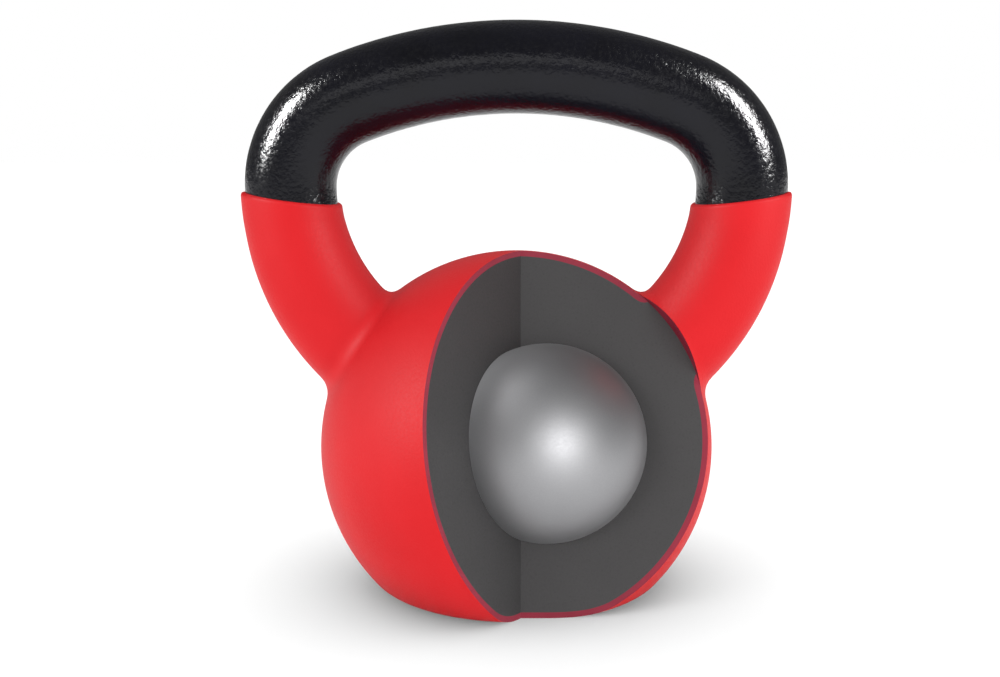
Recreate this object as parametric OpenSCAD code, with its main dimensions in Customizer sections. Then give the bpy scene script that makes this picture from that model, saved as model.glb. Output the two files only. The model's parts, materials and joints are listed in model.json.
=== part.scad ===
// Kettlebell with a wedge cut out of its bell, which shows the iron and the steel ball cast into it.
// Millimetres. The origin is the centre of the flat base, +Z is up and the handle runs along X.
// The wedge opens towards -Y and +X.

/* [Bell] */
// Radius of the round bell, over its vinyl skin
bell_r = 70; // [62:0.5:84]
// Height of the bell's centre above the floor
bell_z = 50; // [44:0.5:60]

/* [Handle] */
// Diameter of the grip, over its enamel
grip_d = 32; // [26:0.5:38]
// Distance of each leg's centre line outside the bell's widest point
leg_out = 9; // [4:0.5:20]
// Height of the crown's centre line above the bell's top
crown_rise = 64; // [52:1:80]
// Bend radius of the crown
crown_r = 160; // [134:1:192]
// Bend radius of each corner
corner_r = 33; // [27:0.5:40]
// Bend radius of each leg
leg_r = 75; // [68:0.5:90]
// Angle that each leg turns through before it ends inside the bell
leg_turn = 60; // [56:1:64]
// Angle down the leg where the horn starts to flare
flare_start = 10; // [8:0.5:12]
// Radius of the iron horn at its end inside the bell
horn_root_r = 18; // [16:0.25:21]

/* [Coats] */
// Thickness of the vinyl skin over the bell and the horns
vinyl_t = 1.8; // [1:0.1:2.4]
// Thickness of the enamel on the handle
enamel_t = 0.4; // [0.2:0.05:0.6]
// Height of the dip line at the leg's centre line, above the bell's top
dip_rise = 19; // [14:0.5:24]
// Slope of the dip line, which is higher on the handle's outer side
dip_tilt = 7.7; // [0:0.1:12]

/* [Section] */
// Angle that the wedge's ridge leans back from upright
section_lean = 20; // [10:1:24]
// Distance from the bell's centre forward to the right-hand section face
section_front = 22.5; // [18:0.5:28]
// Distance of the wedge's ridge to the right of the bell's centre
ridge_x = 1.5; // [0:0.5:4]
// Angle between the two section faces
wedge_angle = 127.5; // [110:0.5:150]

/* [Core ball] */
// Diameter of the steel ball
core_d = 69; // [57:1:82]
// Distance of the ball's centre to the right of the bell's centre
core_x = 10.5; // [6:0.5:14]
// Distance that the ball's centre stands in front of the right-hand section face
core_proud = 0; // [-4:0.5:4]
// Height of the ball's centre up the section face, counted from the bell's centre
core_rise = -2; // [-5:0.5:5]

/* [Chaplets] */
// Diameter of a chaplet's stem
stem_d = 5; // [4:0.5:6]
// Diameter of a chaplet's curved head
head_d = 12; // [10:0.5:15]
// Thickness of a chaplet's head
head_t = 2; // [1.5:0.1:3]
// Distance of each stem from the core ball's centre line
chaplet_pitch_r = 18; // [14:0.5:21]

/* [Hidden] */

// The iron under the coats
grip_r = grip_d / 2;
iron_r = grip_r - enamel_t;

// The handle's own sizes follow the bell
bell_top = bell_z + bell_r;
half_w = bell_r + leg_out;
crown_z = bell_top + crown_rise;
dip_z = bell_top + dip_rise;

// Centres of the handle's bends, in its own plane
corner_x = half_w - corner_r;
crown_centre_z = crown_z - crown_r;
corner_z = crown_centre_z + sqrt(pow(crown_r - corner_r, 2) - pow(corner_x, 2));
leg_x = half_w - leg_r;
crown_half = asin(corner_x / (crown_r - corner_r));

// Each bend is a hair thicker than the one that it laps over, by the step, for the length of the lap
seam_step = 0.02;
seam_turn = 0.1;
flare_turn = 2;

// The flared horn is a skin of flat panels around the end of the leg
horn_sides = 32;
horn_rings = 12;
flare_step = 0.05;

// The cut is bounded by the circle where the right-hand face meets the bell's skin
section_margin = 0.3;
section_r = sqrt(pow(bell_r, 2) - pow(section_front, 2)) + section_margin;

// Longer than any side of the kettlebell
reach = 2 * (crown_z + bell_r);

// Turn of each chaplet about the core ball's centre line, counted from +X
CHAPLET_TURNS = [90, 210, 330];

// The bell, shrunk by the thickness of what covers it. It is turned so that its seam is clear of the horns
module bell(inset) {
    seam_clear = 45;
    difference() {
        translate([0, 0, bell_z]) rotate([0, 0, seam_clear]) sphere(r = bell_r - inset, $fn = 160);
        translate([-reach / 2, -reach / 2, inset - reach]) cube(reach);
    }
}

// One bend of round bar in the handle's plane, between two angles counted from +X towards +Z
module bend(centre_x, centre_z, bend_r, bar_r, from_a, to_a) {
    translate([centre_x, 0, centre_z])
        rotate([90, 0, 0])
            rotate_extrude(angle = to_a - from_a, start = from_a, $fn = 240)
                translate([bend_r, 0]) circle(r = bar_r, $fn = 96);
}

// A point of the flared horn: t runs from 0 where the flare starts to 1 at its end, a goes round
function flare_angle(t) = flare_start + t * (leg_turn - flare_start);
function flare_r(t, extra) = iron_r + extra + t * (horn_root_r - iron_r);
function horn_point(t, a, extra) =
    let (
        turn = flare_angle(t),
        ring_r = (flare_r(t, extra) + flare_step) / cos(180 / horn_sides),
        out = leg_r + ring_r * cos(a)
    )
    [leg_x + out * cos(turn), ring_r * sin(a), corner_z - out * sin(turn)];

// The flared part of the right-hand horn, thickened by extra
module horn_flare(extra) {
    rings = [
        for (i = [0:horn_rings])
            for (k = [0:horn_sides - 1])
                horn_point(i / horn_rings, k * 360 / horn_sides, extra)
    ];
    sides = [
        for (i = [0:horn_rings - 1])
            for (k = [0:horn_sides - 1])
                let (
                    next = (k + 1) % horn_sides,
                    low = i * horn_sides,
                    high = low + horn_sides
                )
                [low + k, low + next, high + next, high + k]
    ];
    first = [for (k = [horn_sides - 1:-1:0]) k];
    last = [for (k = [0:horn_sides - 1]) horn_rings * horn_sides + k];
    polyhedron(points = rings, faces = concat(sides, [first], [last]));
}

// One corner, leg and horn, side 1 on the right and -1 on the left
module corner_and_leg(side, extra) {
    bar_r = iron_r + extra;
    mirror([side < 0 ? 1 : 0, 0, 0]) {
        bend(corner_x, corner_z, corner_r, bar_r + seam_step, 0, 90 - crown_half);
        bend(leg_x, corner_z, leg_r, bar_r, -flare_start - flare_turn, seam_turn);
        horn_flare(extra);
    }
}

// The whole handle of round bar with both horns, thickened by extra
module handle_bar(extra) {
    crown_end = crown_half + seam_turn;
    bend(0, crown_centre_z, crown_r, iron_r + extra, 90 - crown_end, 90 + crown_end);
    corner_and_leg(1, extra);
    corner_and_leg(-1, extra);
}

// A block on one side of the dip line: up 1 is above it and -1 is below it
module beside_dip(side, up) {
    inner_gap = 5;
    translate([side * half_w, 0, dip_z])
        rotate([0, -side * dip_tilt, 0])
            translate([side > 0 ? inner_gap - half_w : -reach, -reach / 2, up > 0 ? 0 : -reach])
                cube([reach + half_w - inner_gap, reach, reach]);
}

// The block of metal that is cut away: a wedge inside the circle of the section
module cut_wedge() {
    side_x = reach * cos(wedge_angle);
    side_y = -reach * sin(wedge_angle);
    translate([0, 0, bell_z])
        rotate([-section_lean, 0, 0])
            intersection() {
                translate([ridge_x, -section_front, -reach / 2])
                    linear_extrude(height = reach)
                        polygon([[0, 0], [side_x, side_y], [reach, -reach], [reach, 0]]);
                rotate([90, 0, 0]) cylinder(r = section_r, h = bell_r + section_front, $fn = 160);
            }
}

// Puts its children at the core ball's centre
module at_core() {
    translate([0, 0, bell_z])
        rotate([-section_lean, 0, 0])
            translate([core_x, -section_front - core_proud, core_rise])
                rotate([section_lean, 0, 0])
                    children();
}

module core_solid() {
    at_core() sphere(d = core_d, $fn = 160);
}

// The iron before the wedge, the ball and the chaplets are taken out of it
module iron_blank() {
    bell(vinyl_t);
    handle_bar(0);
}

// A chaplet as long as the mould's wall: its head is curved to the ball and its stem runs back
module chaplet_blank(turn) {
    at_core()
        difference() {
            union() {
                intersection() {
                    sphere(r = core_d / 2 + head_t, $fn = 160);
                    chaplet_bar(turn, head_d);
                }
                chaplet_bar(turn, stem_d);
            }
            sphere(d = core_d, $fn = 160);
        }
}

// A round bar from the plane of the ball's centre straight back, at a chaplet's place
module chaplet_bar(turn, bar_d) {
    translate([chaplet_pitch_r * cos(turn), 0, chaplet_pitch_r * sin(turn)])
        rotate([-90, 0, 0]) cylinder(d = bar_d, h = 2 * bell_r, $fn = 64);
}

// A chaplet in place, with its stem cut flush with the iron
module chaplet(turn) {
    color("dimgray")
        intersection() {
            chaplet_blank(turn);
            bell(vinyl_t);
        }
}

module iron_casting() {
    color([0.3, 0.3, 0.31])
        difference() {
            iron_blank();
            cut_wedge();
            core_solid();
            for (turn = CHAPLET_TURNS) chaplet_blank(turn);
        }
}

module core_ball() {
    color([0.7, 0.7, 0.72]) core_solid();
}

module vinyl_coat() {
    color([0.9, 0.11, 0.14])
        difference() {
            union() {
                bell(0);
                for (side = [-1, 1])
                    difference() {
                        corner_and_leg(side, vinyl_t);
                        beside_dip(side, 1);
                    }
            }
            iron_blank();
            cut_wedge();
        }
}

module handle_enamel() {
    color([0.03, 0.03, 0.04])
        difference() {
            handle_bar(enamel_t);
            iron_blank();
            beside_dip(1, -1);
            beside_dip(-1, -1);
        }
}

iron_casting();
core_ball();
vinyl_coat();
handle_enamel();
chaplet(CHAPLET_TURNS[0]);  // chaplet_top
chaplet(CHAPLET_TURNS[1]);  // chaplet_left
chaplet(CHAPLET_TURNS[2]);  // chaplet_right
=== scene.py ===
"""Looks of a cutaway kettlebell: dipped vinyl, baked enamel, sawn iron and a ground steel ball.

Everything is in metres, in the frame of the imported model: the origin is the centre of the flat base,
+Z is up and the handle runs along X.
"""

import json
import logging
import math
from dataclasses import dataclass, field
from enum import Enum
from typing import Callable, Sequence

import bmesh
import bpy
import numpy as np
from mathutils import Matrix, Vector

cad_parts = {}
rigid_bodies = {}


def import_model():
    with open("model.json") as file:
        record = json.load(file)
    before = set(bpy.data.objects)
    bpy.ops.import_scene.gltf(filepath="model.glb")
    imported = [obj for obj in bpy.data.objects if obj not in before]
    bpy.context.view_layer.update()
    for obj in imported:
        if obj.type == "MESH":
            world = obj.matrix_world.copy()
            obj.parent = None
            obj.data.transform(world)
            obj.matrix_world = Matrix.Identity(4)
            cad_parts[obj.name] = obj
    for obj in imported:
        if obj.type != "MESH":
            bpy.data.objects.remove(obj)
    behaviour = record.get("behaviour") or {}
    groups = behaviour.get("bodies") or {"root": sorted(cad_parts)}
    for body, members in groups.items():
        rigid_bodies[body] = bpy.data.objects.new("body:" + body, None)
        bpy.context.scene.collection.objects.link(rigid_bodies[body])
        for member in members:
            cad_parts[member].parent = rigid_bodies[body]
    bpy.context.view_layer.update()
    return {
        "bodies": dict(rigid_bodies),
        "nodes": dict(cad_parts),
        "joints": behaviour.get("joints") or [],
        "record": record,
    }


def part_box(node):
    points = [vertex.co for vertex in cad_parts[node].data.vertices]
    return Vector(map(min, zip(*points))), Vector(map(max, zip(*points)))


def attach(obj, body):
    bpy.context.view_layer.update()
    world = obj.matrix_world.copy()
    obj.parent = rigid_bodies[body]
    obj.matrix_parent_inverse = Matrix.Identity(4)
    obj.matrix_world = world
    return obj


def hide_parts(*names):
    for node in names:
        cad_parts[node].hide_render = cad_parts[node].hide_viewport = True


LOG = logging.getLogger("kettlebell")
ROOT = "root"
MM = 0.001
SHARP_ANGLE = math.radians(32)

Points = np.ndarray
Distance = Callable[[Points], np.ndarray]
Colour = tuple[float, float, float]


class Solver(Enum):
    """Ways that a boolean modifier may work."""

    MANIFOLD = "MANIFOLD"
    EXACT = "EXACT"


class Join(Enum):
    """What a boolean modifier does with its second mesh."""

    CUT = "DIFFERENCE"
    SHARE = "INTERSECT"


# ---------------------------------------------------------------------------
# Distance functions


def smooth_min(a: np.ndarray, b: np.ndarray, width: float) -> np.ndarray:
    """Join two distances with a fillet.

    Args:
        a: Distances to the first shape.
        b: Distances to the second shape.
        width: How far from the seam the fillet starts.

    Returns:
        Distances to the joined shape.
    """
    overlap = np.maximum(width - np.abs(a - b), 0.0) / width
    return np.minimum(a, b) - overlap * overlap * width / 4


def smooth_max(a: np.ndarray, b: np.ndarray, width: float) -> np.ndarray:
    """Cut one distance with another and round the edge between them.

    Args:
        a: Distances to the first shape.
        b: Distances to the shape that bounds it.
        width: How far from the edge the rounding starts.

    Returns:
        Distances to the bounded shape.
    """
    return -smooth_min(-a, -b, width)


@dataclass(frozen=True)
class Shape:
    """The kettlebell's form, as distances that the skins settle on."""

    bell_r: float
    bell_z: float
    grip_r: float
    half_width: float
    crown_z: float
    crown_r: float = 160 * MM
    corner_r: float = 33 * MM
    leg_r: float = 75 * MM
    leg_turn: float = math.radians(60)
    flare_start: float = math.radians(10)
    horn_root_r: float = 18 * MM
    vinyl: float = 1.8 * MM
    enamel: float = 0.4 * MM
    dip_z: float = 139 * MM
    dip_tilt: float = math.radians(7.7)
    fillet: float = 4.5 * MM
    base_round: float = 4 * MM
    lip_round: float = 1.2 * MM
    flare_past: float = 1.2

    @classmethod
    def from_frame(cls) -> "Shape":
        """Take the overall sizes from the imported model.

        Returns:
            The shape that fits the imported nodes.
        """
        corner_step = 0.02 * MM
        _, enamel_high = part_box("handle_enamel")
        _, skin_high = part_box("vinyl_coat")
        grip_r = enamel_high[1]
        return cls(
            bell_r=skin_high[1],
            bell_z=50 * MM,
            grip_r=grip_r,
            half_width=enamel_high[0] - grip_r - corner_step,
            crown_z=enamel_high[2] - grip_r,
        )

    @property
    def iron_r(self) -> float:
        """Radius of the iron bar under the enamel."""
        return self.grip_r - self.enamel

    @property
    def corner_x(self) -> float:
        """Distance of a corner's bend centre from the middle."""
        return self.half_width - self.corner_r

    @property
    def corner_z(self) -> float:
        """Height of the bend centres of the corners and the legs."""
        reach = self.crown_r - self.corner_r
        return self.crown_z - self.crown_r + math.sqrt(reach**2 - self.corner_x**2)

    @property
    def leg_x(self) -> float:
        """Distance of a leg's bend centre from the middle."""
        return self.half_width - self.leg_r

    @property
    def crown_half(self) -> float:
        """Half of the angle that the crown turns through."""
        return math.asin(self.corner_x / (self.crown_r - self.corner_r))

    def flare(self, turn: np.ndarray) -> np.ndarray:
        """Give the iron's radius at an angle down the leg.

        Args:
            turn: Angles down the leg, from its top.

        Returns:
            Radii of the iron there.
        """
        share = (turn - self.flare_start) / (self.leg_turn - self.flare_start)
        ease = np.clip(share, 0.0, self.flare_past)
        return self.iron_r + ease * (self.horn_root_r - self.iron_r)

    def bar(self, p: Points, extra: float) -> np.ndarray:
        """Measure to the handle's bar, from crown to horns.

        Args:
            p: Points, one row each.
            extra: Thickness added to the iron.

        Returns:
            Signed distances, below zero inside.
        """
        x = np.abs(p[:, 0])
        y, z = p[:, 1], p[:, 2]
        leg_u, leg_w = x - self.leg_x, self.corner_z - z
        turn = np.arctan2(leg_w, leg_u)
        leg = np.hypot(np.hypot(leg_u, leg_w) - self.leg_r, y) - self.flare(turn) - extra
        corner_u, corner_w = x - self.corner_x, z - self.corner_z
        bend = np.hypot(corner_u, corner_w) - self.corner_r
        corner = np.hypot(bend, y) - self.iron_r - extra
        crown_w = z - (self.crown_z - self.crown_r)
        crown = np.hypot(np.hypot(x, crown_w) - self.crown_r, y) - self.iron_r - extra
        on_crown = np.arctan2(x, crown_w) < self.crown_half
        upper = np.where(on_crown & (corner_w > 0), crown, corner)
        return np.where(corner_w < 0, leg, upper)

    def bell(self, p: Points, extra: float) -> np.ndarray:
        """Measure to the round bell under the vinyl, thickened by extra.

        Args:
            p: Points, one row each.
            extra: Thickness added to the iron.

        Returns:
            Signed distances, below zero inside.
        """
        centre = np.array((0.0, 0.0, self.bell_z))
        return np.linalg.norm(p - centre, axis=1) - (self.bell_r - self.vinyl + extra)

    def body(self, p: Points, extra: float) -> np.ndarray:
        """Measure to the whole casting, thickened by extra, with its fillets and flat base.

        Args:
            p: Points, one row each.
            extra: Thickness added to the iron.

        Returns:
            Signed distances, below zero inside.
        """
        joined = smooth_min(self.bell(p, extra), self.bar(p, extra), self.fillet)
        below_base = self.vinyl - extra - p[:, 2]
        return smooth_max(joined, below_base, self.base_round)

    def above_dip(self, p: Points) -> np.ndarray:
        """Measure how far points are above the dip lines.

        Args:
            p: Points, one row each.

        Returns:
            Signed distances, below zero under the line.
        """
        rise = p[:, 2] - self.dip_z
        out = np.abs(p[:, 0]) - self.half_width
        return rise * math.cos(self.dip_tilt) - out * math.sin(self.dip_tilt)

    def skin(self, p: Points) -> np.ndarray:
        """Measure to the outside of the vinyl, with its rounded lips.

        Args:
            p: Points, one row each.

        Returns:
            Signed distances, below zero inside.
        """
        return smooth_max(self.body(p, self.vinyl), self.above_dip(p), self.lip_round)

    def iron(self, p: Points) -> np.ndarray:
        """Measure to the outside of the bare iron.

        Args:
            p: Points, one row each.

        Returns:
            Signed distances, below zero inside.
        """
        return self.body(p, 0.0)

    def path(self, count: int, low_turn: float) -> Points:
        """Trace the bar's centre line from the left leg over the crown to the right leg.

        Args:
            count: How many points each bend gets.
            low_turn: Angle down the legs where the line starts and ends.

        Returns:
            Points along the line, one row each.
        """
        leg = np.linspace(low_turn, 0.0, count, endpoint=False)
        corner = np.linspace(0.0, math.pi / 2 - self.crown_half, count, endpoint=False)
        crown = np.linspace(self.crown_half, 0.0, count)
        x = np.concatenate((
            self.leg_x + self.leg_r * np.cos(leg),
            self.corner_x + self.corner_r * np.cos(corner),
            self.crown_r * np.sin(crown),
        ))
        z = np.concatenate((
            self.corner_z - self.leg_r * np.sin(leg),
            self.corner_z + self.corner_r * np.sin(corner),
            self.crown_z - self.crown_r + self.crown_r * np.cos(crown),
        ))
        right = np.column_stack((x, np.zeros_like(x), z))
        left = right[:-1] * (-1, 1, 1)
        return np.vstack((left, right[::-1]))


@dataclass(frozen=True)
class Section:
    """The wedge that is cut out of the bell."""

    shape: Shape
    lean: float = math.radians(20)
    front: float = 22.5 * MM
    ridge_x: float = 1.5 * MM
    wedge_angle: float = math.radians(127.5)
    margin: float = 0.3 * MM
    reach: float = 150 * MM
    rim_sides: int = 240

    @property
    def to_world(self) -> Matrix:
        """Matrix from the section's own frame to the world."""
        return Matrix.Translation((0, 0, self.shape.bell_z)) @ Matrix.Rotation(-self.lean, 4, "X")

    @property
    def rim_r(self) -> float:
        """Radius of the circle that bounds the cut."""
        return math.sqrt(self.shape.bell_r**2 - self.front**2) + self.margin

    def local(self, p: Points) -> Points:
        """Turn world points into the section's own frame.

        Args:
            p: Points, one row each.

        Returns:
            The same points, seen from the section.
        """
        back = np.array(self.to_world.inverted())
        return p @ back[:3, :3].T + back[:3, 3]

    def depth(self, p: Points) -> np.ndarray:
        """Measure to the wedge that is cut away.

        Args:
            p: Points, one row each.

        Returns:
            Signed distances, below zero inside the cut.
        """
        q = self.local(p)
        right = q[:, 1] + self.front
        side = np.array((math.cos(self.wedge_angle), -math.sin(self.wedge_angle)))
        normal = np.array((side[1], -side[0]))
        left = (q[:, 0] - self.ridge_x) * normal[0] + (q[:, 1] + self.front) * normal[1]
        return np.maximum(np.maximum(right, left), self.rim(p))

    def rim(self, p: Points) -> np.ndarray:
        """Measure to the round wall that bounds the cut.

        Args:
            p: Points, one row each.

        Returns:
            Signed distances, below zero inside the wall.
        """
        q = self.local(p)
        return np.hypot(q[:, 0], q[:, 2]) - self.rim_r

    def cutter(self) -> bpy.types.Object:
        """Build the closed block that the cut takes away.

        Returns:
            An object that holds the wedge inside its round rim.
        """
        side = Vector((math.cos(self.wedge_angle), -math.sin(self.wedge_angle)))
        corner = Vector((self.ridge_x, -self.front))
        far = self.reach
        outline = [
            corner,
            corner + side * far,
            Vector((far, -far)),
            Vector((far, -self.front)),
        ]
        wedge = prism("section_wedge", outline, -far, far)
        angles = np.linspace(0, 2 * math.pi, self.rim_sides, endpoint=False)
        circle = [Vector((self.rim_r * math.cos(a), self.rim_r * math.sin(a))) for a in angles]
        drum = prism("section_drum", circle, 0.0, far)
        drum.data.transform(Matrix.Rotation(math.pi / 2, 4, "X"))
        combine(wedge, drum, Join.SHARE, Solver.EXACT)
        remove(drum)
        wedge.data.transform(self.to_world)
        return wedge


# ---------------------------------------------------------------------------
# Mesh helpers


def new_object(name: str, mesh: bpy.types.Mesh) -> bpy.types.Object:
    """Link a mesh to the scene as an object at the origin.

    Args:
        name: The object's name.
        mesh: The mesh that it holds.

    Returns:
        The new object.
    """
    obj = bpy.data.objects.new(name, mesh)
    bpy.context.scene.collection.objects.link(obj)
    return obj


def mesh_object(name: str, points: Sequence, faces: Sequence) -> bpy.types.Object:
    """Make an object from points and faces.

    Args:
        name: The object's name.
        points: Vertex places.
        faces: Vertex numbers of each face.

    Returns:
        The new object.
    """
    mesh = bpy.data.meshes.new(name)
    mesh.from_pydata([tuple(p) for p in points], [], [tuple(f) for f in faces])
    mesh.validate()
    return new_object(name, mesh)


def remove(obj: bpy.types.Object) -> None:
    """Delete an object and its mesh.

    Args:
        obj: The object to delete.
    """
    mesh = obj.data
    bpy.data.objects.remove(obj, do_unlink=True)
    bpy.data.meshes.remove(mesh)


def bake_modifiers(obj: bpy.types.Object) -> None:
    """Turn an object's evaluated shape into its plain mesh and drop its modifiers.

    Args:
        obj: The object that has modifiers.
    """
    graph = bpy.context.evaluated_depsgraph_get()
    made = bpy.data.meshes.new_from_object(obj.evaluated_get(graph), depsgraph=graph)
    old = obj.data
    obj.modifiers.clear()
    obj.data = made
    made.name = obj.name
    if old.users == 0:
        bpy.data.meshes.remove(old)


def combine(first: bpy.types.Object, second: bpy.types.Object, join: Join, solver: Solver) -> None:
    """Apply a boolean between two closed meshes. The second object stays as it is.

    Args:
        first: The object that keeps the result.
        second: The other operand.
        join: What is done with the second mesh.
        solver: How it is worked out.
    """
    modifier = first.modifiers.new("combine", "BOOLEAN")
    modifier.operation = join.value
    modifier.solver = solver.value
    modifier.object = second
    bake_modifiers(first)


def prism(name: str, outline: Sequence[Vector], low: float, high: float) -> bpy.types.Object:
    """Raise a flat outline in XY into a closed block along Z.

    Args:
        name: The object's name.
        outline: Corners in order.
        low: Height of its bottom.
        high: Height of its top.

    Returns:
        The block, with its faces outward.
    """
    count = len(outline)
    points = [(p.x, p.y, z) for z in (low, high) for p in outline]
    faces = [tuple(range(count))[::-1], tuple(range(count, 2 * count))]
    faces += [(i, (i + 1) % count, count + (i + 1) % count, count + i) for i in range(count)]
    obj = mesh_object(name, points, faces)
    face_outward(obj)
    return obj


def face_outward(obj: bpy.types.Object) -> None:
    """Turn every face of a closed mesh outward.

    Args:
        obj: The object that holds the mesh.
    """
    work = bmesh.new()
    work.from_mesh(obj.data)
    bmesh.ops.recalc_face_normals(work, faces=work.faces)
    work.to_mesh(obj.data)
    work.free()


def round_bar(name: str, path: Points, radii: np.ndarray, sides: int) -> bpy.types.Object:
    """Sweep a circle along a path in the XZ plane into a closed bar.

    Args:
        name: The object's name.
        path: Points along the centre line.
        radii: The bar's radius at each point.
        sides: How many sides the bar has.

    Returns:
        The closed bar.
    """
    along = np.gradient(path, axis=0)
    along /= np.linalg.norm(along, axis=1)[:, None]
    across = np.column_stack((along[:, 2], np.zeros(len(path)), -along[:, 0]))
    turn = np.linspace(0, 2 * math.pi, sides, endpoint=False)
    ring = np.cos(turn)[None, :, None] * across[:, None, :]
    ring = ring + np.sin(turn)[None, :, None] * np.array((0.0, 1.0, 0.0))
    points = path[:, None, :] + radii[:, None, None] * ring
    faces = [
        (
            i * sides + k,
            i * sides + (k + 1) % sides,
            (i + 1) * sides + (k + 1) % sides,
            (i + 1) * sides + k,
        )
        for i in range(len(path) - 1)
        for k in range(sides)
    ]
    faces.append(tuple(range(sides)))
    faces.append(tuple(range((len(path) - 1) * sides, len(path) * sides)))
    obj = mesh_object(name, points.reshape(-1, 3), faces)
    face_outward(obj)
    return obj


def round_ball(name: str, centre: Vector, radius: float, cuts: int) -> bpy.types.Object:
    """Make a ball of even quads by blowing up a cut cube.

    Args:
        name: The object's name.
        centre: The ball's centre.
        radius: The ball's radius.
        cuts: How many quads run along a cube's edge.

    Returns:
        The closed ball.
    """
    work = bmesh.new()
    bmesh.ops.create_cube(work, size=2.0)
    bmesh.ops.subdivide_edges(work, edges=work.edges[:], cuts=cuts - 1, use_grid_fill=True)
    for vert in work.verts:
        x, y, z = (math.tan(c * math.pi / 4) for c in vert.co)
        vert.co = Vector((x, y, z)).normalized() * radius + centre
    mesh = bpy.data.meshes.new(name)
    work.to_mesh(mesh)
    work.free()
    return new_object(name, mesh)


def read_points(mesh: bpy.types.Mesh) -> Points:
    """Read a mesh's vertices.

    Args:
        mesh: The mesh.

    Returns:
        Its vertices, one row each.
    """
    flat = np.empty(len(mesh.vertices) * 3)
    mesh.vertices.foreach_get("co", flat)
    return flat.reshape(-1, 3)


def write_points(mesh: bpy.types.Mesh, points: Points) -> None:
    """Write an array back to a mesh's vertices.

    Args:
        mesh: The mesh.
        points: Its new vertices, one row each.
    """
    mesh.vertices.foreach_set("co", np.ascontiguousarray(points, dtype=np.float64).ravel())
    mesh.update()


def settle(points: Points, distance: Distance, rounds: int) -> Points:
    """Move points onto the surface where a distance is zero.

    Args:
        points: Points, one row each.
        distance: The signed distance to the surface.
        rounds: How many steps are taken.

    Returns:
        The points on the surface.
    """
    step = 0.02 * MM
    least_slope = 0.2
    for _ in range(rounds):
        here = distance(points)
        slope = np.empty_like(points)
        for axis in range(3):
            shift = np.zeros(3)
            shift[axis] = step
            slope[:, axis] = (distance(points + shift) - distance(points - shift)) / (2 * step)
        size = np.maximum((slope * slope).sum(axis=1), least_slope)
        points = points - slope * (here / size)[:, None]
    return points


def relax(mesh: bpy.types.Mesh, points: Points, distance: Distance, rounds: int) -> Points:
    """Even out a mesh's spacing while it stays on a surface.

    Args:
        mesh: The mesh whose edges are used.
        points: Its vertices.
        distance: The signed distance to the surface.
        rounds: How many times the spacing is evened.

    Returns:
        The evened points.
    """
    pull, settle_rounds = 0.5, 2
    ends = np.empty(len(mesh.edges) * 2, dtype=np.int64)
    mesh.edges.foreach_get("vertices", ends)
    a, b = ends.reshape(-1, 2).T
    count = np.bincount(a, minlength=len(points)) + np.bincount(b, minlength=len(points))
    for _ in range(rounds):
        total = np.zeros_like(points)
        np.add.at(total, a, points[b])
        np.add.at(total, b, points[a])
        mean = total / np.maximum(count, 1)[:, None]
        points = settle(points + pull * (mean - points), distance, settle_rounds)
    return points


def refine(obj: bpy.types.Object, near: Callable[[Points], np.ndarray]) -> None:
    """Split the faces of a mesh where a test says so.

    Args:
        obj: The object to refine.
        near: Says for each face centre whether the face is split.
    """
    work = bmesh.new()
    work.from_mesh(obj.data)
    work.faces.ensure_lookup_table()
    centres = np.array([face.calc_center_median() for face in work.faces])
    chosen = near(centres)
    edges = {edge for face, hit in zip(work.faces, chosen) if hit for edge in face.edges}
    bmesh.ops.subdivide_edges(work, edges=list(edges), cuts=1, use_grid_fill=True)
    bmesh.ops.triangulate(work, faces=[face for face in work.faces if len(face.verts) > 4])
    work.to_mesh(obj.data)
    work.free()


def voxel_skin(name: str, parts: Sequence[bpy.types.Object], voxel: float) -> bpy.types.Object:
    """Join rough solids into one even closed skin.

    Args:
        name: The new object's name.
        parts: Closed solids that overlap, which are used up.
        voxel: Size of the skin's faces.

    Returns:
        The rough skin.
    """
    work = bmesh.new()
    for part in parts:
        work.from_mesh(part.data)
        remove(part)
    mesh = bpy.data.meshes.new(name)
    work.to_mesh(mesh)
    work.free()
    obj = new_object(name, mesh)
    modifier = obj.modifiers.new("even", "REMESH")
    modifier.mode = "VOXEL"
    modifier.voxel_size = voxel
    bake_modifiers(obj)
    return obj


# ---------------------------------------------------------------------------
# Finishes


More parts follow.
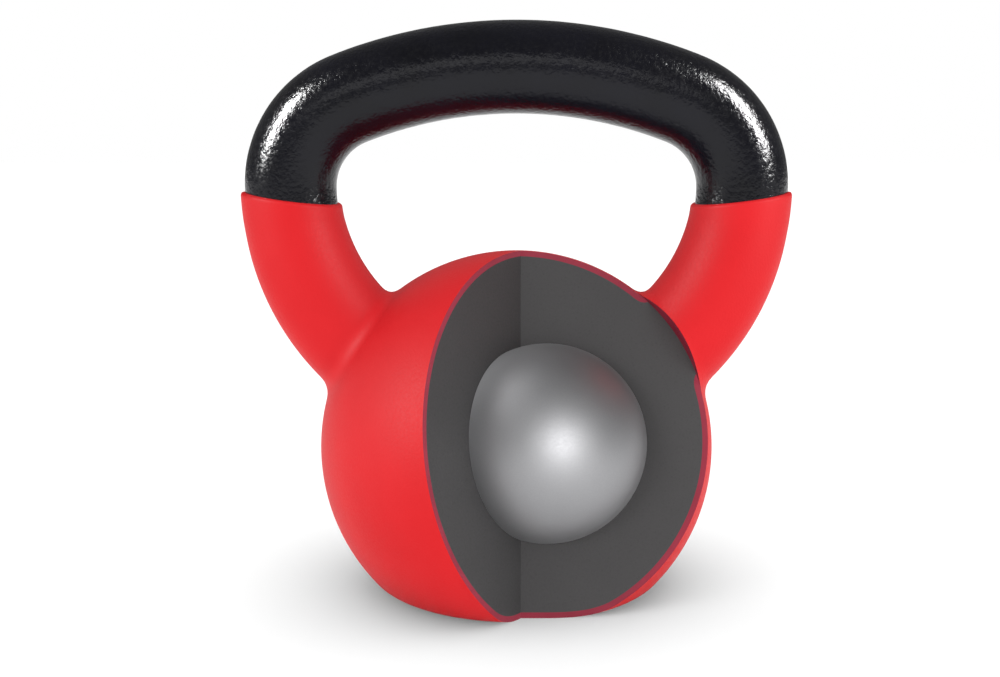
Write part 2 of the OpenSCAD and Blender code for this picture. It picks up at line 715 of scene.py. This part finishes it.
class NodeSheet:
    """Lays out shader nodes with short calls."""

    def __init__(self, tree: bpy.types.NodeTree) -> None:
        """Start on a tree.

        Args:
            tree: The node tree to fill.
        """
        self.tree = tree

    def add(
        self, kind: str, values: dict[str | int, object] | None = None, **settings: object
    ) -> bpy.types.Node:
        """Add a node.

        Args:
            kind: The node's type name.
            values: Numbers or sockets for its inputs, by name or number.
            **settings: Settings of the node itself.

        Returns:
            The new node.
        """
        node = self.tree.nodes.new(kind)
        for name, value in settings.items():
            setattr(node, name, value)
        for name, value in (values or {}).items():
            if isinstance(value, bpy.types.NodeSocket):
                self.tree.links.new(value, node.inputs[name])
            else:
                node.inputs[name].default_value = value
        return node

    def noise(
        self, vector: bpy.types.NodeSocket, scale: float | bpy.types.NodeSocket, detail: float
    ) -> bpy.types.NodeSocket:
        """Add a noise texture.

        Args:
            vector: Where it is read.
            scale: Waves in a metre, as a number or a socket.
            detail: How many finer layers it has.

        Returns:
            Its value, from 0 to 1.
        """
        values = {"Vector": vector, "Scale": scale, "Detail": detail}
        return self.add("ShaderNodeTexNoise", values).outputs[0]

    def remap(
        self, value: bpy.types.NodeSocket, low: float, high: float, to: tuple[float, float]
    ) -> bpy.types.NodeSocket:
        """Stretch a value to a new range and clamp it.

        Args:
            value: The value.
            low: What becomes the first end.
            high: What becomes the second end.
            to: The two new ends.

        Returns:
            The stretched value.
        """
        values = {"Value": value, "From Min": low, "From Max": high, "To Min": to[0], "To Max": to[1]}
        return self.add("ShaderNodeMapRange", values).outputs[0]

    def blend(
        self,
        mask: bpy.types.NodeSocket,
        first: Colour | bpy.types.NodeSocket,
        second: Colour | bpy.types.NodeSocket,
    ) -> bpy.types.NodeSocket:
        """Blend two colours.

        Args:
            mask: Share of the second colour.
            first: First colour or socket.
            second: Second colour or socket.

        Returns:
            The blended colour.
        """
        node = self.tree.nodes.new("ShaderNodeMix")
        node.data_type = "RGBA"
        self.tree.links.new(mask, node.inputs[0])
        for socket, value in ((node.inputs[6], first), (node.inputs[7], second)):
            if isinstance(value, bpy.types.NodeSocket):
                self.tree.links.new(value, socket)
            else:
                socket.default_value = (*value, 1.0)
        return node.outputs[2]


@dataclass(frozen=True)
class SurfaceGrain:
    """Shared effect: blotches, fine grain and pits read from object coordinates."""

    name: str = "surface_grain"
    blotch_detail: float = 3.0
    grain_detail: float = 4.0
    pit_edge: tuple[float, float] = (0.08, 0.3)

    def build(self) -> bpy.types.NodeTree:
        """Build the group once.

        Returns:
            The node group, with the outputs Blotch, Grain and Pits.
        """
        if self.name in bpy.data.node_groups:
            return bpy.data.node_groups[self.name]
        group = bpy.data.node_groups.new(self.name, "ShaderNodeTree")
        for title, start in (("Blotch Scale", 40.0), ("Grain Scale", 900.0), ("Pit Scale", 400.0)):
            socket = group.interface.new_socket(title, in_out="INPUT", socket_type="NodeSocketFloat")
            socket.default_value = start
        for title in ("Blotch", "Grain", "Pits"):
            group.interface.new_socket(title, in_out="OUTPUT", socket_type="NodeSocketFloat")
        sheet = NodeSheet(group)
        given = sheet.add("NodeGroupInput")
        coords = sheet.add("ShaderNodeTexCoord").outputs["Object"]
        blotch = sheet.noise(coords, given.outputs[0], self.blotch_detail)
        grain = sheet.noise(coords, given.outputs[1], self.grain_detail)
        cells = sheet.add("ShaderNodeTexVoronoi", {"Vector": coords, "Scale": given.outputs[2]})
        pits = sheet.remap(cells.outputs["Distance"], *self.pit_edge, (1.0, 0.0))
        result = sheet.add("NodeGroupOutput")
        for number, socket in enumerate((blotch, grain, pits)):
            group.links.new(socket, result.inputs[number])
        return group


@dataclass(frozen=True)
class Finish:
    """A surface finish with blotched colour, varied roughness and a fine bump."""

    name: str
    light: Colour
    dark: Colour
    rough: tuple[float, float]
    metallic: float = 0.0
    specular: float = 0.5
    blotch_scale: float = 40.0
    grain_scale: float = 900.0
    pit_scale: float = 400.0
    grain_height: float = 0.05 * MM
    pit_share: float = 0.0
    pit_colour: Colour = (0.01, 0.01, 0.01)
    line_scale: float = 0.0
    line_height: float = 0.0
    line_detail: float = 3.0
    line_stretch: tuple[float, float, float] = (0.06, 0.06, 1.0)
    line_turn: tuple[float, float, float] = (0.3, 0.5, 0.0)
    blotch_span: tuple[float, float] = (0.32, 0.68)
    grain_span: tuple[float, float] = (0.3, 0.7)

    def build(self) -> bpy.types.Material:
        """Build the material.

        Returns:
            The finished material.
        """
        material = bpy.data.materials.new(self.name)
        material.use_nodes = True
        tree = material.node_tree
        shader = tree.nodes["Principled BSDF"]
        sheet = NodeSheet(tree)
        grain = sheet.add("ShaderNodeGroup", node_tree=SurfaceGrain().build())
        grain.inputs["Blotch Scale"].default_value = self.blotch_scale
        grain.inputs["Grain Scale"].default_value = self.grain_scale
        grain.inputs["Pit Scale"].default_value = self.pit_scale
        blotch = sheet.remap(grain.outputs["Blotch"], *self.blotch_span, (0.0, 1.0))
        colour = sheet.blend(blotch, self.light, self.dark)
        height = grain.outputs["Grain"]
        if self.pit_share > 0:
            share = sheet.remap(grain.outputs["Pits"], 0.0, 1.0, (0.0, self.pit_share))
            colour = sheet.blend(share, colour, self.pit_colour)
        if self.line_scale > 0:
            height = self.ground_lines(sheet, height)
        tree.links.new(colour, shader.inputs["Base Color"])
        rough = sheet.remap(grain.outputs["Grain"], *self.grain_span, self.rough)
        tree.links.new(rough, shader.inputs["Roughness"])
        values = {"Strength": 1.0, "Distance": self.grain_height, "Height": height}
        bump = sheet.add("ShaderNodeBump", values)
        tree.links.new(bump.outputs[0], shader.inputs["Normal"])
        shader.inputs["Metallic"].default_value = self.metallic
        shader.inputs["Specular IOR Level"].default_value = self.specular
        return material

    def ground_lines(self, sheet: NodeSheet, height: bpy.types.NodeSocket) -> bpy.types.NodeSocket:
        """Add long fine grinding lines to a height.

        Args:
            sheet: The material's nodes.
            height: The height so far.

        Returns:
            The height with the lines.
        """
        coords = sheet.add("ShaderNodeTexCoord").outputs["Object"]
        values = {"Vector": coords, "Scale": self.line_stretch, "Rotation": self.line_turn}
        stretched = sheet.add("ShaderNodeMapping", values).outputs[0]
        lines = sheet.noise(stretched, self.line_scale, self.line_detail)
        values = {0: lines, 1: self.line_height, 2: height}
        return sheet.add("ShaderNodeMath", values, operation="MULTIPLY_ADD").outputs[0]


VINYL = Finish(
    name="satin_vinyl", light=(0.74, 0.008, 0.013), dark=(0.67, 0.004, 0.008), rough=(0.50, 0.60),
    specular=0.2, blotch_scale=22.0, grain_scale=1300.0, grain_height=0.07 * MM,
)
VINYL_CUT = Finish(
    name="cut_vinyl", light=(0.33, 0.018, 0.045), dark=(0.27, 0.012, 0.034), rough=(0.55, 0.7),
    specular=0.3, blotch_scale=60.0, grain_scale=2200.0, grain_height=0.03 * MM,
)
ENAMEL = Finish(
    name="baked_enamel", light=(0.005, 0.005, 0.009), dark=(0.003, 0.003, 0.005), rough=(0.13, 0.25),
    specular=0.25, blotch_scale=50.0, grain_scale=700.0, grain_height=0.22 * MM,
)
CAST_IRON = Finish(
    name="cast_iron", light=(0.050, 0.048, 0.047), dark=(0.030, 0.029, 0.029), rough=(0.55, 0.8),
    metallic=0.3, blotch_scale=60.0, grain_scale=700.0, grain_height=0.2 * MM,
)
SAWN_IRON = Finish(
    name="sawn_iron", light=(0.079, 0.076, 0.077), dark=(0.069, 0.066, 0.067), rough=(0.5, 0.68),
    metallic=0.25, specular=0.4, blotch_scale=18.0, grain_scale=1500.0, grain_height=0.02 * MM,
    pit_scale=700.0, pit_share=0.2, pit_colour=(0.035, 0.034, 0.034), line_scale=1600.0, line_height=0.6,
)
BALL_STEEL = Finish(
    name="ball_steel", light=(0.38, 0.38, 0.39), dark=(0.35, 0.35, 0.36), rough=(0.54, 0.60),
    metallic=1.0, blotch_scale=30.0, grain_scale=1800.0, grain_height=0.01 * MM,
    line_scale=1400.0, line_height=0.5,
)
CHAPLET_STEEL = Finish(
    name="chaplet_steel", light=(0.32, 0.31, 0.30), dark=(0.22, 0.21, 0.20), rough=(0.4, 0.55),
    metallic=1.0, blotch_scale=120.0, grain_scale=1400.0, grain_height=0.03 * MM,
)
FLOOR = Finish(
    name="paper_floor", light=(0.98, 0.98, 0.98), dark=(0.965, 0.965, 0.965), rough=(0.8, 0.9),
    specular=0.1, blotch_scale=3.0, grain_scale=300.0, grain_height=0.01 * MM,
)


# ---------------------------------------------------------------------------
# Sub-assemblies


def dress_faces(obj: bpy.types.Object, finishes: Sequence[bpy.types.Material], index: np.ndarray) -> None:
    """Give an object its materials, face by face, and smooth shading with sharp edges.

    Args:
        obj: The object.
        finishes: The materials in order.
        index: The number of each face's material.
    """
    mesh = obj.data
    mesh.materials.clear()
    for finish in finishes:
        mesh.materials.append(finish)
    mesh.polygons.foreach_set("material_index", np.asarray(index, dtype=np.int32))
    mesh.polygons.foreach_set("use_smooth", np.ones(len(mesh.polygons), dtype=bool))
    mesh.set_sharp_from_angle(angle=SHARP_ANGLE)
    mesh.update()


def face_centres(mesh: bpy.types.Mesh) -> Points:
    """Read the centres of a mesh's faces.

    Args:
        mesh: The mesh.

    Returns:
        The centres, one row each.
    """
    flat = np.empty(len(mesh.polygons) * 3)
    mesh.polygons.foreach_get("center", flat)
    return flat.reshape(-1, 3)


@dataclass
class Casting:
    """The iron casting and the vinyl dipped over it."""

    shape: Shape
    section: Section
    core: "CoreBall"
    voxel: float = 1.5 * MM
    lip_zone: float = 2.5 * MM
    base_zone: float = 5 * MM
    low_turn: float = math.radians(68)
    on_cut: float = 0.03 * MM
    ball_cuts: int = 40
    bar_sides: int = 48
    path_count: int = 48
    first_rounds: int = 8
    last_rounds: int = 6
    even_rounds: int = 3
    lip_rounds: int = 2
    pieces: dict[str, bpy.types.Object] = field(default_factory=dict)

    def skin(self, name: str, extra: float, distance: Distance, whole: bool) -> bpy.types.Object:
        """Make a closed skin and settle it on a distance.

        Args:
            name: The skin's name.
            extra: Thickness added to the iron.
            distance: The signed distance to the surface.
            whole: Whether the bar goes over the top.

        Returns:
            The settled skin.
        """
        shape = self.shape
        centre = Vector((0, 0, shape.bell_z))
        parts = [round_ball("rough_bell", centre, shape.bell_r - shape.vinyl + extra, self.ball_cuts)]
        path = shape.path(self.path_count, self.low_turn)
        if whole:
            parts.append(self.bar(path, extra))
        else:
            for side in (-1, 1):
                keep = (path[:, 0] * side > 0) & (shape.above_dip(path) < 0)
                parts.append(self.bar(path[keep], extra))
        obj = voxel_skin(name, parts, self.voxel)
        points = settle(read_points(obj.data), distance, self.first_rounds)
        points = relax(obj.data, points, distance, self.even_rounds)
        write_points(obj.data, points)
        if not whole:
            for share in (2, 1):
                refine(obj, lambda p, zone=share * self.lip_zone: self.near_lip(p, zone))
                points = relax(obj.data, read_points(obj.data), distance, self.lip_rounds)
                write_points(obj.data, points)
        write_points(obj.data, settle(points, distance, self.last_rounds))
        return obj

    def near_lip(self, p: Points, zone: float) -> np.ndarray:
        """Say which points are near the vinyl's lips.

        Args:
            p: Points, one row each.
            zone: How far from a dip line counts as near.

        Returns:
            True for the points near a lip.
        """
        shape = self.shape
        beside = np.abs(np.abs(p[:, 0]) - shape.half_width) < 2 * shape.grip_r
        return (np.abs(shape.above_dip(p)) < zone) & beside

    def bar(self, path: Points, extra: float) -> bpy.types.Object:
        """Sweep the rough bar along a path.

        Args:
            path: Points along its centre line.
            extra: Thickness added to the iron.

        Returns:
            The closed bar.
        """
        turn = np.arctan2(self.shape.corner_z - path[:, 2], np.abs(path[:, 0]) - self.shape.leg_x)
        radii = self.shape.flare(np.clip(turn, 0, None)) + extra
        return round_bar("rough_bar", path, radii, self.bar_sides)

    def build(self) -> None:
        """Make the skins and cut the section through them."""
        shape = self.shape
        cutter = self.section.cutter()
        vinyl = self.skin("vinyl", shape.vinyl, shape.skin, False)
        iron = self.skin("iron", 0.0, shape.iron, True)
        combine(vinyl, iron, Join.CUT, Solver.MANIFOLD)
        combine(vinyl, cutter, Join.CUT, Solver.MANIFOLD)
        combine(iron, cutter, Join.CUT, Solver.MANIFOLD)
        ball = self.core.solid("core_hole")
        combine(iron, ball, Join.CUT, Solver.MANIFOLD)
        remove(ball)
        remove(cutter)
        self.pieces = {"vinyl": vinyl, "iron": iron}

    def dress(self) -> None:
        """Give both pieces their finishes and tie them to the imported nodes."""
        vinyl, iron = self.pieces["vinyl"], self.pieces["iron"]
        cut_vinyl = VINYL_CUT.build()
        for obj, finishes, node, slot in (
            (vinyl, (VINYL.build(), cut_vinyl), "vinyl_coat", "vinyl"),
            (iron, (CAST_IRON.build(), SAWN_IRON.build(), cut_vinyl), "iron_casting", "iron"),
        ):
            centres = face_centres(obj.data)
            on_cut = np.abs(self.section.depth(centres)) < self.on_cut
            on_rim = on_cut & (np.abs(self.section.rim(centres)) < self.on_cut)
            index = on_cut.astype(np.int32)
            if len(finishes) > 2:
                index += on_rim
            dress_faces(obj, finishes, index)
            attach(obj, ROOT)
            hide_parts(node)
        vinyl.visible_diffuse = False


@dataclass
class CoreBall:
    """The steel ball cast into the middle of the bell."""

    centre: Vector
    radius: float
    cuts: int = 56
    obj: bpy.types.Object | None = None

    @classmethod
    def from_frame(cls) -> "CoreBall":
        """Take the ball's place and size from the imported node.

        Returns:
            The ball.
        """
        low, high = (Vector(corner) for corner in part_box("core_ball"))
        return cls(centre=(low + high) / 2, radius=(high.x - low.x) / 2)

    def solid(self, name: str) -> bpy.types.Object:
        """Make the ball's mesh.

        Args:
            name: The object's name.

        Returns:
            The closed ball.
        """
        return round_ball(name, self.centre, self.radius, self.cuts)

    def build(self) -> None:
        """Make the ball."""
        self.obj = self.solid("core")

    def dress(self) -> None:
        """Give the ball its finish and tie it to its node."""
        mesh = self.obj.data
        mesh.materials.append(BALL_STEEL.build())
        mesh.polygons.foreach_set("use_smooth", np.ones(len(mesh.polygons), dtype=bool))
        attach(self.obj, ROOT)
        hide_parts("core_ball")


@dataclass
class Enamel:
    """The baked enamel on the handle, swept along the bar by geometry nodes."""

    shape: Shape
    sides: int = 96
    step: float = 1.0 * MM
    wave: float = 0.10 * MM
    coarse_scale: float = 150.0
    fine_scale: float = 420.0
    fine_share: float = 0.6
    noise_detail: float = 2.0
    path_count: int = 40
    sharp_angle: float = math.radians(50)
    low_turn: float = math.radians(14)
    below: float = 120 * MM
    obj: bpy.types.Object | None = None

    def tree(self) -> bpy.types.NodeTree:
        """Build the node tree that sweeps the bar.

        Returns:
            The tree, with the inputs Radius, Step, Wave and Finish.
        """
        tree = bpy.data.node_groups.new("enamel_sweep", "GeometryNodeTree")
        face = tree.interface
        face.new_socket("Geometry", in_out="INPUT", socket_type="NodeSocketGeometry")
        for title in ("Radius", "Step", "Wave"):
            face.new_socket(title, in_out="INPUT", socket_type="NodeSocketFloat")
        face.new_socket("Finish", in_out="INPUT", socket_type="NodeSocketMaterial")
        face.new_socket("Geometry", in_out="OUTPUT", socket_type="NodeSocketGeometry")
        sheet = NodeSheet(tree)
        given = sheet.add("NodeGroupInput").outputs
        line = sheet.add("GeometryNodeMeshToCurve", {"Mesh": given["Geometry"]}).outputs[0]
        values = {"Curve": line, "Length": given["Step"]}
        even = sheet.add("GeometryNodeResampleCurve", values, mode="LENGTH")
        values = {"Radius": given["Radius"], "Resolution": self.sides}
        ring = sheet.add("GeometryNodeCurvePrimitiveCircle", values, mode="RADIUS").outputs["Curve"]
        values = {"Curve": even.outputs[0], "Profile Curve": ring, "Fill Caps": True}
        swept = sheet.add("GeometryNodeCurveToMesh", values).outputs[0]
        place = sheet.add("GeometryNodeInputPosition").outputs[0]
        coarse = sheet.noise(place, self.coarse_scale, self.noise_detail)
        fine = sheet.noise(place, self.fine_scale, self.noise_detail)
        values = {0: fine, 1: self.fine_share, 2: coarse}
        mixed = sheet.add("ShaderNodeMath", values, operation="MULTIPLY_ADD").outputs[0]
        values = {0: mixed, 1: given["Wave"]}
        depth = sheet.add("ShaderNodeMath", values, operation="MULTIPLY").outputs[0]
        values = {0: depth, 1: -1.0}
        inward = sheet.add("ShaderNodeMath", values, operation="MULTIPLY").outputs[0]
        normal = sheet.add("GeometryNodeInputNormal").outputs[0]
        values = {0: normal, "Scale": inward}
        offset = sheet.add("ShaderNodeVectorMath", values, operation="SCALE").outputs[0]
        moved = sheet.add("GeometryNodeSetPosition", {"Geometry": swept, "Offset": offset}).outputs[0]
        smooth = sheet.add("GeometryNodeSetShadeSmooth", {"Geometry": moved}).outputs[0]
        real = sheet.add("GeometryNodeRealizeInstances", {"Geometry": smooth}).outputs[0]
        values = {"Geometry": real, "Material": given["Finish"]}
        done = sheet.add("GeometryNodeSetMaterial", values).outputs[0]
        sheet.add("NodeGroupOutput", {0: done})
        return tree

    def build(self) -> None:
        """Sweep the enamel and end it at the dip lines."""
        shape = self.shape
        path = shape.path(self.path_count, self.low_turn)
        mesh = bpy.data.meshes.new("enamel")
        mesh.from_pydata([tuple(p) for p in path], [(i, i + 1) for i in range(len(path) - 1)], [])
        self.obj = new_object("enamel", mesh)
        modifier = self.obj.modifiers.new("sweep", "NODES")
        tree = self.tree()
        modifier.node_group = tree
        given = {
            "Radius": shape.grip_r, "Step": self.step, "Wave": self.wave, "Finish": ENAMEL.build(),
        }
        for item in tree.interface.items_tree:
            if item.in_out == "INPUT" and item.name in given:
                modifier[item.identifier] = given[item.name]
        bake_modifiers(self.obj)
        face_outward(self.obj)
        slope, wide = math.tan(shape.dip_tilt), 2 * shape.half_width
        outline = [
            Vector((-wide, shape.dip_z + slope * (wide - shape.half_width))),
            Vector((0, shape.dip_z - slope * shape.half_width)),
            Vector((wide, shape.dip_z + slope * (wide - shape.half_width))),
            Vector((wide, shape.dip_z - self.below)),
            Vector((-wide, shape.dip_z - self.below)),
        ]
        block = prism("below_dip", outline, -wide, wide)
        block.data.transform(Matrix.Rotation(math.pi / 2, 4, "X"))
        face_outward(block)
        combine(self.obj, block, Join.CUT, Solver.MANIFOLD)
        remove(block)

    def dress(self) -> None:
        """Tie the enamel to its node."""
        self.obj.data.set_sharp_from_angle(angle=self.sharp_angle)
        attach(self.obj, ROOT)
        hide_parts("handle_enamel")


@dataclass
class Chaplets:
    """The three steel supports that hold the ball while the iron is poured."""

    nodes: tuple[str, ...] = ("chaplet_top", "chaplet_left", "chaplet_right")

    def dress(self, frame: dict) -> None:
        """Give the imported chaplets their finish.
        """
        finish = CHAPLET_STEEL.build()
        for name in self.nodes:
            obj = frame["nodes"][name]
            for slot in obj.material_slots:
                slot.material = finish


class Lit(Enum):
    """Which pieces a light falls on."""

    VINYL = ("vinyl",)
    ENAMEL = ("enamel",)
    IRON = ("iron",)
    CORE = ("core",)
    FLOOR = ("floor",)


@dataclass(frozen=True)
class SoftBox:
    """A soft studio light that faces a point."""

    name: str
    place: tuple[float, float, float]
    target: tuple[float, float, float]
    size: tuple[float, float]
    power: float
    lit: Lit
    matt: bool = True
    shadow: bool = True

    def build(self) -> bpy.types.Object:
        """Place the light.

        Returns:
            The light's object.
        """
        light = bpy.data.lights.new(self.name, "AREA")
        light.shape = "RECTANGLE"
        light.size, light.size_y = self.size
        light.energy = self.power
        light.use_shadow = self.shadow
        obj = bpy.data.objects.new(self.name, light)
        aim = (Vector(self.target) - Vector(self.place)).to_track_quat("-Z", "Y")
        obj.matrix_world = Matrix.Translation(self.place) @ aim.to_matrix().to_4x4()
        obj.visible_diffuse = self.matt
        bpy.context.scene.collection.objects.link(obj)
        lit = bpy.data.collections.new(f"lit_by_{self.name}")
        for name in self.lit.value:
            lit.objects.link(bpy.data.objects[name])
        obj.light_linking.receiver_collection = lit
        return obj


# Points that the lights face
ON_GRIP_LEFT = (-0.06, 0.0, 0.17)
ON_GRIP_RIGHT = (0.06, 0.0, 0.17)
ON_CROWN = (0.0, 0.0, 0.18)
ON_BELL = (0.0, 0.0, 0.10)
ON_SHOULDER = (0.0, 0.0, 0.12)
ON_CORE = (0.0, 0.0, 0.06)
ON_FLOOR = (0.0, 0.0, 0.0)


@dataclass
class Studio:
    """The floor, the lights and the camera."""

    floor_size: float = 6.0
    world_seen: float = 1.0
    world_light: float = 1.18
    world_shine: float = 0.20
    camera_place: tuple[float, float, float] = (0.0, -0.500, 0.176)
    pitch: float = math.radians(9.9)
    lens: float = 51.2
    shift: float = -0.0164
    clip_start: float = 0.01
    boxes: tuple[SoftBox, ...] = (
        SoftBox("left", (-0.86, -0.30, 0.58), ON_GRIP_LEFT, (0.15, 0.46), 44.0, Lit.ENAMEL, matt=False),
        SoftBox("right", (0.84, -0.34, 0.66), ON_GRIP_RIGHT, (0.17, 0.66), 50.0, Lit.ENAMEL, matt=False),
        SoftBox("sheen", (-0.10, -1.00, 0.52), ON_CROWN, (0.9, 0.25), 1.3, Lit.ENAMEL, matt=False),
        SoftBox("glow_left", (-0.80, -0.40, 0.50), ON_BELL, (0.4, 0.5), 10.0, Lit.VINYL, matt=False),
        SoftBox("glow_right", (0.95, -0.50, 0.45), ON_BELL, (0.4, 0.5), 10.0, Lit.VINYL, matt=False),
        SoftBox("soften", (0.90, -0.60, 0.50), ON_SHOULDER, (0.5, 0.5), 1.0, Lit.VINYL),
        SoftBox("faces", (-0.60, -0.95, 0.45), ON_CORE, (0.4, 0.4), 2.4, Lit.IRON),
        SoftBox("front", (0.26, -0.92, 0.28), ON_CORE, (0.16, 0.16), 6.6, Lit.CORE),
        SoftBox("core_fill", (-0.60, 0.10, 0.60), ON_CORE, (0.9, 0.9), 4.2, Lit.CORE, shadow=False),
        SoftBox("overhead", (0.0, 0.1, 1.5), ON_FLOOR, (1.6, 1.6), 4.0, Lit.FLOOR),
    )

    def floor(self) -> bpy.types.Object:
        """Lay the floor.

        Returns:
            The floor's object.
        """
        half = self.floor_size / 2
        corners = [(-half, -half, 0), (half, -half, 0), (half, half, 0), (-half, half, 0)]
        obj = mesh_object("floor", corners, [(0, 1, 2, 3)])
        obj.data.materials.append(FLOOR.build())
        return obj

    def world(self) -> None:
        """Set a pale backdrop that lights the object softly."""
        world = bpy.data.worlds.new("studio")
        bpy.context.scene.world = world
        world.use_nodes = True
        tree = world.node_tree
        tree.nodes.clear()
        sheet = NodeSheet(tree)
        seen, lit, shine = (
            sheet.add("ShaderNodeBackground", {"Color": (1, 1, 1, 1), "Strength": strength})
            for strength in (self.world_seen, self.world_light, self.world_shine)
        )
        path = sheet.add("ShaderNodeLightPath").outputs
        values = {0: path["Is Glossy Ray"], 1: lit.outputs[0], 2: shine.outputs[0]}
        light = sheet.add("ShaderNodeMixShader", values)
        values = {0: path["Is Camera Ray"], 1: light.outputs[0], 2: seen.outputs[0]}
        both = sheet.add("ShaderNodeMixShader", values)
        sheet.add("ShaderNodeOutputWorld", {0: both.outputs[0]})

    def camera(self) -> None:
        """Place the camera at the viewing angle."""
        data = bpy.data.cameras.new("camera")
        data.lens = self.lens
        data.shift_x = self.shift
        data.clip_start = self.clip_start
        obj = bpy.data.objects.new("camera", data)
        bpy.context.scene.collection.objects.link(obj)
        turn = Matrix.Rotation(math.pi / 2 - self.pitch, 4, "X")
        obj.matrix_world = Matrix.Translation(self.camera_place) @ turn
        bpy.context.scene.camera = obj

    def build(self) -> None:
        """Set up the whole studio."""
        self.floor()
        self.world()
        for box in self.boxes:
            box.build()
        self.camera()
        bpy.context.scene.view_settings.view_transform = "Standard"


def report(*pieces: bpy.types.Object) -> None:
    """Log the size of each finished piece.

    Args:
        *pieces: The finished pieces.
    """
    for piece in pieces:
        mesh = piece.data
        LOG.info("%s: %d points, %d faces", piece.name, len(mesh.vertices), len(mesh.polygons))


def main() -> None:
    """Build the kettlebell's looks, piece by piece."""
    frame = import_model()
    shape = Shape.from_frame()
    core = CoreBall.from_frame()
    LOG.info("grip radius %.2f mm, half width %.2f mm", shape.grip_r / MM, shape.half_width / MM)
    core.build()
    core.dress()
    report(core.obj)
    casting = Casting(shape=shape, section=Section(shape), core=core)
    casting.build()
    casting.dress()
    report(*casting.pieces.values())
    enamel = Enamel(shape)
    enamel.build()
    enamel.dress()
    report(enamel.obj)
    chaplets = Chaplets()
    chaplets.dress(frame)
    report(*(frame["nodes"][name] for name in chaplets.nodes))
    Studio().build()


if __name__ == "__main__":
    logging.basicConfig(level=logging.INFO)
    main()
